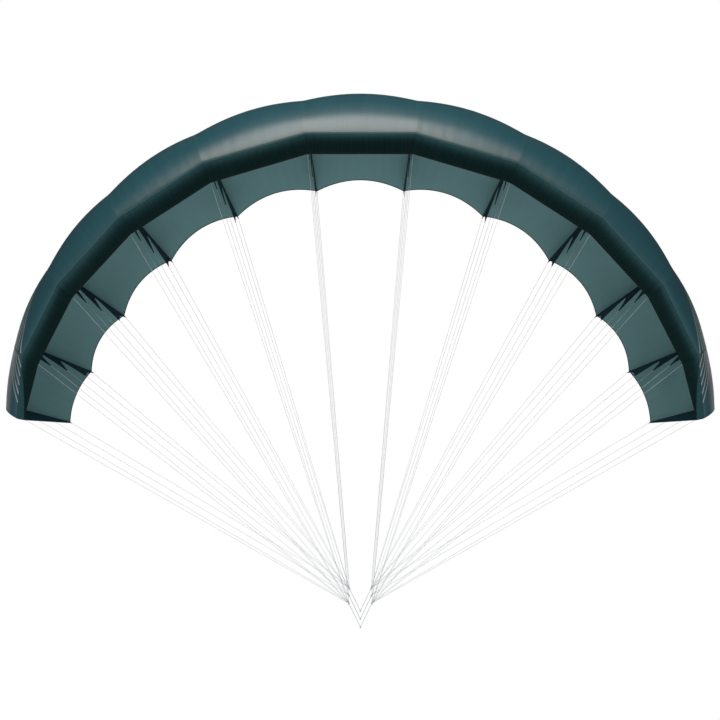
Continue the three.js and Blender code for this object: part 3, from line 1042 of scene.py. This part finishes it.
# %% Tabs on the ribs
tabs = {}
for station in STATIONS:
    lean = math.radians(station.rib.fan)
    chordwise = Vector((0, 1, 0))
    outward = Vector((station.side * math.sin(lean), 0, math.cos(lean)))
    turn = Matrix((chordwise, outward, chordwise.cross(outward))).transposed().to_4x4()
    copies = []
    for spot in ties(station.rib).values():
        copy = new_object(f"{station.name}_tabs", pattern_tab.data.copy())
        copy.data.transform(Matrix.Translation(Vector(in_wing(station, *spot)) * MM) @ turn)
        copies.append(copy)
    tabs[station.name] = joined(*copies)
    belongs(tabs[station.name])
bpy.data.objects.remove(pattern_tab)

print("tabs:", sum(len(ties(station.rib)) for station in STATIONS))

# %% [markdown]
# Where two skin panels and a rib meet, a narrow tape is sewn over the seam on the outside. It follows the
# edges of both panels, so it is a strip of three columns: a few millimetres out on the left panel, the seam
# itself, and the same on the right one. A tip has a panel on one side alone, so its tape lies on that side.

# %% Seam tapes
TAPE_HALF = 5
TAPE_RISE = 0.5
TAPE_UNDER = 0.3


def edge_strip(left, right, end):
    """Points of a cell's surface on its left (0) or right (1) rib, and half a tape away from it."""
    ends = np.full_like(SKIN_STEPS, end)
    on_rib, width = skin_surface(left, right, SKIN_STEPS, ends)
    away, _ = skin_surface(left, right, SKIN_STEPS, np.abs(ends - TAPE_HALF / width))
    return on_rib, away


for index, station in enumerate(STATIONS):
    columns = []
    if index > 0:
        on_rib, away = edge_strip(STATIONS[index - 1], station, 1)
        columns += [away, on_rib]
    if index < len(STATIONS) - 1:
        on_rib, away = edge_strip(station, STATIONS[index + 1], 0)
        columns += [on_rib, away] if index == 0 else [away]
    strip = np.stack(columns, axis=1)
    normals = grid_normals(strip)
    run = row_lengths(strip)
    tape = sheet_object(
        f"seam_tape_{station.name}",
        strip + normals * TAPE_RISE,
        strip - normals * TAPE_UNDER,
        np.stack((np.zeros_like(run), run), axis=-1),
        (skin_face, skin_face),
    )
    # The tapes carry the skin's painted shade at the nose seam, but not at the tips
    at_tip = station.rib.name == "tip_rib"
    set_seam_light_and_shade(tape, np.zeros_like(run) if at_tip else np.exp(-((run / SKIN_FADE) ** 2)))
    belongs(tape)

# %% [markdown]
# A thin piping runs along the nose seam of each cell, between the teal skin and the dark panel. It closes
# the seam, and is cut from the dark panel's cloth.

# %% Nose piping
PIPING_RADIUS = 1.3

for number, (left, right) in CELLS:
    at_seam = np.zeros_like(ACROSS)
    points, _ = skin_surface(left, right, at_seam, ACROSS)
    piping = cord(f"nose_piping_{number}", points, PIPING_RADIUS)
    only(piping)
    bpy.ops.object.convert(target="MESH")
    piping.data.materials.clear()
    piping.data.materials.append(nose_face)
    # The piping takes the nose cloth's painted light at the seam
    fade = nose_fade(number, ACROSS, at_seam, nose_lengths[number])
    set_seam_light_and_shade(piping, np.repeat(fade, len(piping.data.vertices) // len(ACROSS)))
    belongs(piping)

# %% [markdown]
# The stage is a plain pale floor far below the wing, bright enough that it runs into the white behind. The
# floor and the air are white to the eye, but light the cloth only dimly, so that the dark cloths stay dark.

# %% Floor and air
FLOOR_DROP = 1500
FLOOR_SIZE = 60000
FLOOR_LIGHT = 0.2
AIR_LIGHT = 0.05
WHITE = "#ffffff"

bpy.ops.object.select_all(action="DESELECT")
bpy.ops.mesh.primitive_plane_add(size=FLOOR_SIZE * MM, location=(0, 0, -FLOOR_DROP * MM))
floor = bpy.context.object
floor.name = "floor"
pale, tree = new_material("pale_studio_floor")
seen = add_node(tree, "LightPath", {}, give="Is Camera Ray")
glow = add_node(tree, "MapRange", {0: seen, 3: FLOOR_LIGHT, 4: 1.0})
surface = add_node(tree, "Emission", {"Color": linear(WHITE), "Strength": glow})
add_node(tree, "OutputMaterial", {"Surface": surface})
floor.data.materials.append(pale)

world = bpy.data.worlds.new("studio_air")
bpy.context.scene.world = world
world.use_nodes = True
tree = world.node_tree
tree.nodes.clear()
seen = add_node(tree, "LightPath", {}, give="Is Camera Ray")
dim, white = (
    add_node(tree, "Background", {"Color": linear(WHITE), "Strength": strength})
    for strength in (AIR_LIGHT, 1.0)
)
air = add_node(tree, "MixShader", {0: seen, 1: dim, 2: white})
add_node(tree, "OutputWorld", {"Surface": air})
print("stage:", floor.name, world.name)

# %% [markdown]
# One large soft light, a little warm, hangs in front of and above the nose, where its reflection makes the
# broad band along the cloth. A wider, weaker one carries the band on to the outer cells, and a weak one
# overhead lifts the crest. Three fills light the undersides: two small ones before and behind the knots shine
# along the ribs, which then throw little shadow, and a large low one lights the lines as well. A weak box on
# each side shows in the tips. The one behind lights the back of the wing, and is hidden from reflections, so
# that it draws no white rim along the crest.

# %% Lights
WARM = "#fff6ee"
UNDER_WING = (0, 0.3, 2.2)


def softbox(name, place, target, size, power, colour=WHITE):
    """A rectangular soft light that looks at a point. Places and sizes are in metres."""
    data = bpy.data.lights.new(name, "AREA")
    data.color = linear(colour)[:3]
    data.shape = "RECTANGLE"
    data.size, data.size_y = size
    data.energy = power
    light = new_object(name, data)
    light.location = place
    light.rotation_euler = (Vector(target) - Vector(place)).to_track_quat("-Z", "Y").to_euler()
    light.visible_camera = False
    return light


softbox("key_softbox", (-0.3, -3.46, 5.02), (0, -0.2, 2.2), (3.3, 3.7), 160, WARM)
softbox("wide_softbox", (-0.3, -3.8, 5.5), (0, -0.2, 2.0), (7.4, 3.4), 38, WARM)
softbox("top_softbox", (0, -0.9, 6.0), (0, -0.1, 2.3), (3.0, 2.4), 5, WARM)
softbox("front_fill", (0, -1.7, 0.1), UNDER_WING, (1.4, 1.0), 11)
softbox("rear_fill", (0, 1.9, 0.1), UNDER_WING, (1.4, 1.0), 12)
softbox("low_fill", (0, 0.3, -1.2), UNDER_WING, (4.0, 3.0), 18)
for name, side in SIDES.items():
    softbox(f"{name}_softbox", (side * 4.0, 1.8, 0.4), (side * 1.5, 0.2, 1.0), (3.0, 3.0), 12)
behind = softbox("back_softbox", (0, 4.5, 4.2), (0, 0.4, 2.0), (6.0, 3.0), 110)
behind.visible_glossy = False
bpy.context.scene.view_settings.view_transform = "Standard"
